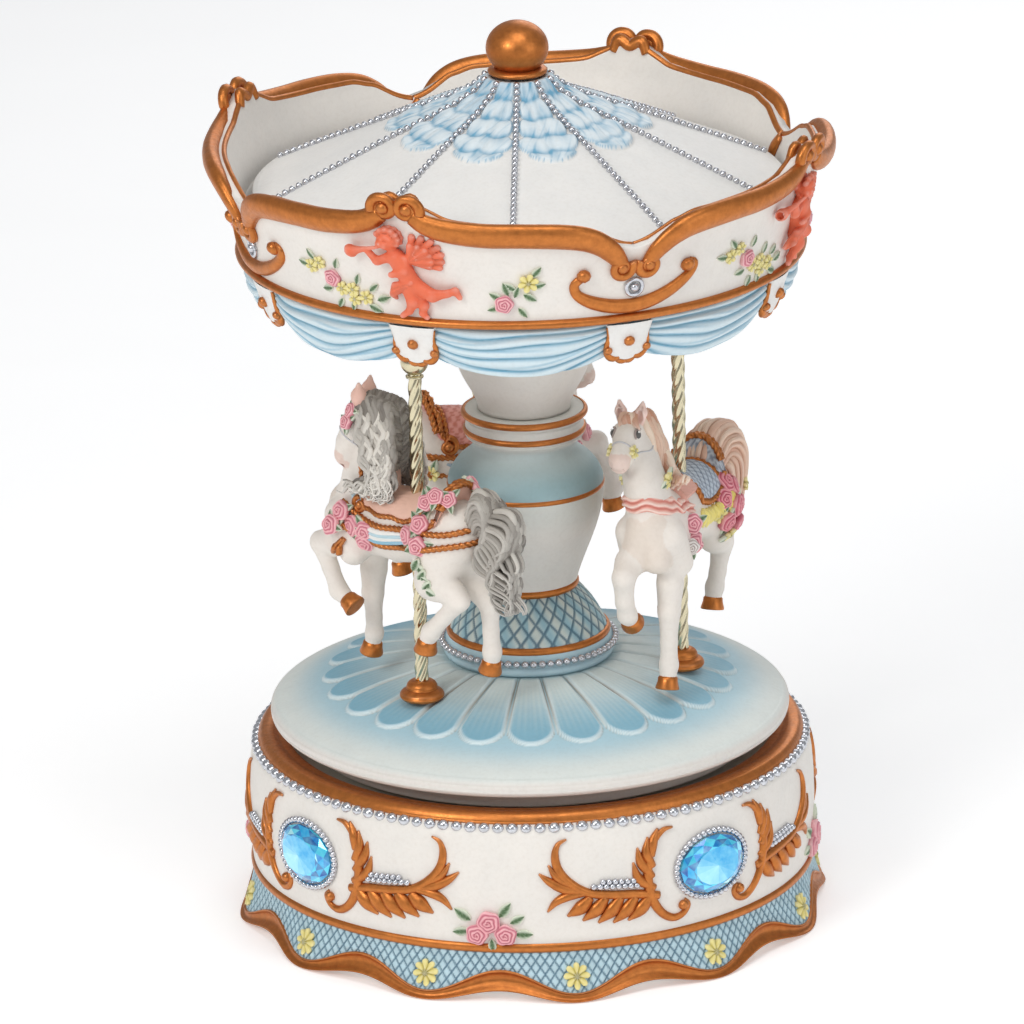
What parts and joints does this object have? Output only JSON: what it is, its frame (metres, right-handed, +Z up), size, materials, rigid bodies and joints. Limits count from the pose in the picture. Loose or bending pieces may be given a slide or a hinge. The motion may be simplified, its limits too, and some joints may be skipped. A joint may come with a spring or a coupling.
{
  "type": "wind-up music box",
  "caption": "Wind-up carousel music box: a ruffled drum base with a spring movement turns a domed platform, column, horses on poles and a swagged canopy.",
  "frame": {"origin": "on the turning axis, at the level of the rubber feet", "axes": "+Z up along the turning axis, -Y towards the front"},
  "size_m": [0.17, 0.17, 0.2576],
  "materials": {
    "cream_resin": "matte hand-painted cast resin",
    "blue_resin": "matte hand-painted cast resin",
    "copper_paint": "satin copper-gold",
    "silver_beads": "polished beads",
    "aqua_stone": "faceted and clear",
    "pole_brass": "polished",
    "movement_brass": "satin",
    "steel": "bright",
    "cover_plastic": "fine grain",
    "rubber": "matte"
  },
  "bodies": {
    "base": {"base_shell": "cream_resin", "bedplate": "movement_brass", "bottom_cover": "cover_plastic", "comb_screw_1": "steel", "comb_screw_2": "steel", "cover_screw_1": "steel", "cover_screw_2": "steel", "cover_screw_3": "steel", "foot_pad_back_left": "rubber", "foot_pad_back_right": "rubber", "foot_pad_front_left": "rubber", "foot_pad_front_right": "rubber", "gem_back_left": "aqua_stone", "gem_back_right": "aqua_stone", "gem_beads_back_left": "silver_beads", "gem_beads_back_right": "silver_beads", "gem_beads_front_left": "silver_beads", "gem_beads_front_right": "silver_beads", "gem_front_left": "aqua_stone", "gem_front_right": "aqua_stone", "governor_bracket": "steel", "movement_screw_1": "steel", "movement_screw_2": "steel", "ratchet_click": "steel", "reed_comb": "steel", "rim_bead_strand": "silver_beads", "shaft_bushing": "movement_brass"},
    "turntable": {"barrel_cover": "movement_brass", "canopy_ceiling": "cream_resin", "canopy_crown": "cream_resin", "canopy_roof": "cream_resin", "canopy_valance": "blue_resin", "column_capital": "cream_resin", "column_foot": "blue_resin", "column_vase": "cream_resin", "drive_shaft": "steel", "finial": "copper_paint", "horse_back": "cream_resin", "horse_left": "cream_resin", "horse_right": "cream_resin", "mainspring": "steel", "platform": "blue_resin", "pole_back": "pole_brass", "pole_cap_back": "pole_brass", "pole_cap_left": "pole_brass", "pole_cap_right": "pole_brass", "pole_collar_back": "copper_paint", "pole_collar_left": "copper_paint", "pole_collar_right": "copper_paint", "pole_left": "pole_brass", "pole_right": "pole_brass", "spring_barrel": "movement_brass", "tie_rod": "steel"},
    "cylinder": {"pin_cylinder": "movement_brass", "cylinder_arbor": "steel", "cylinder_gear": "movement_brass"},
    "idler": {"idler_gear": "movement_brass"},
    "fly": {"governor_fly": "movement_brass"},
    "key": {"winding_key": "movement_brass", "winding_arbor": "steel"}
  },
  "joints": [
    {"name": "turntable_spin", "type": "hinge", "parent": "base", "child": "turntable", "pos_m": [0, 0, 0.06], "axis": [0, 0, 1], "continuous": true},
    {"name": "cylinder_spin", "type": "hinge", "parent": "base", "child": "cylinder", "pos_m": [0.028, 0, 0.0338], "axis": [1, 0, 0], "continuous": true},
    {"name": "idler_spin", "type": "hinge", "parent": "base", "child": "idler", "pos_m": [0.043, -0.00945, 0.0338], "axis": [1, 0, 0], "continuous": true},
    {"name": "governor_spin", "type": "hinge", "parent": "base", "child": "fly", "pos_m": [0.0446, -0.01695, 0.0338], "axis": [0, 0, 1], "continuous": true},
    {"name": "key_turn", "type": "hinge", "parent": "base", "child": "key", "pos_m": [0, 0, 0.01], "axis": [0, 0, 1], "range_deg": [0, 2610]}
  ],
  "couplings": [
    {"joint": "cylinder_spin", "follows": "turntable_spin", "ratio": 4},
    {"joint": "idler_spin", "follows": "turntable_spin", "ratio": -8},
    {"joint": "governor_spin", "follows": "turntable_spin", "ratio": -64}
  ]
}
